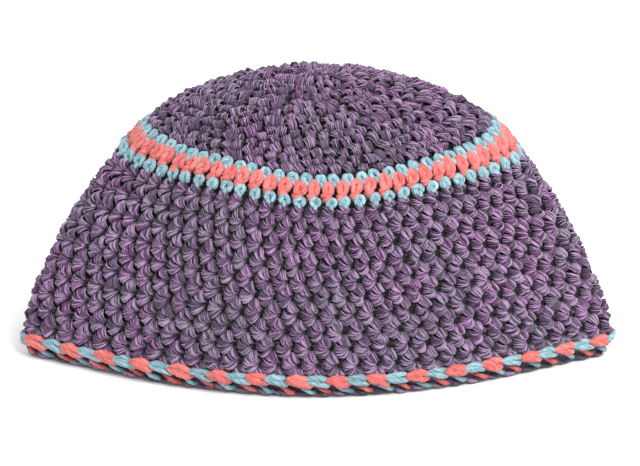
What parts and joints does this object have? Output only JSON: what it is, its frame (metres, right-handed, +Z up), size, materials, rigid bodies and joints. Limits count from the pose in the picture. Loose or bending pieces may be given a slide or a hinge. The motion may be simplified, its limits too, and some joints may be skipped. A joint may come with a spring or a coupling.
{
  "type": "crocheted beanie",
  "caption": "Soft crocheted cap worked in rounds from the crown, in purple and grey marl with a teal and coral stripe and a chain-stitched rim, hollow for a head and standing on its rim.",
  "frame": {"origin": "on the floor under the middle of the rim", "axes": "+Z up through the crown, +X along the cap's broad way, the front towards -Y"},
  "size_m": [0.2486, 0.1082, 0.126],
  "materials": {
    "marl_yarn": "matte marl yarn, purple and grey strands held together, crocheted",
    "teal_yarn": "matte pale teal yarn, crocheted",
    "coral_yarn": "matte coral yarn, crocheted",
    "edging_yarn": "matte coral and pale teal yarn in turn, chain stitched"
  },
  "bodies": {
    "root": {"crown": "marl_yarn", "teal_round_upper": "teal_yarn", "coral_round": "coral_yarn", "teal_round_lower": "teal_yarn", "side_wall": "marl_yarn", "rim_edging": "edging_yarn"}
  },
  "joints": []
}
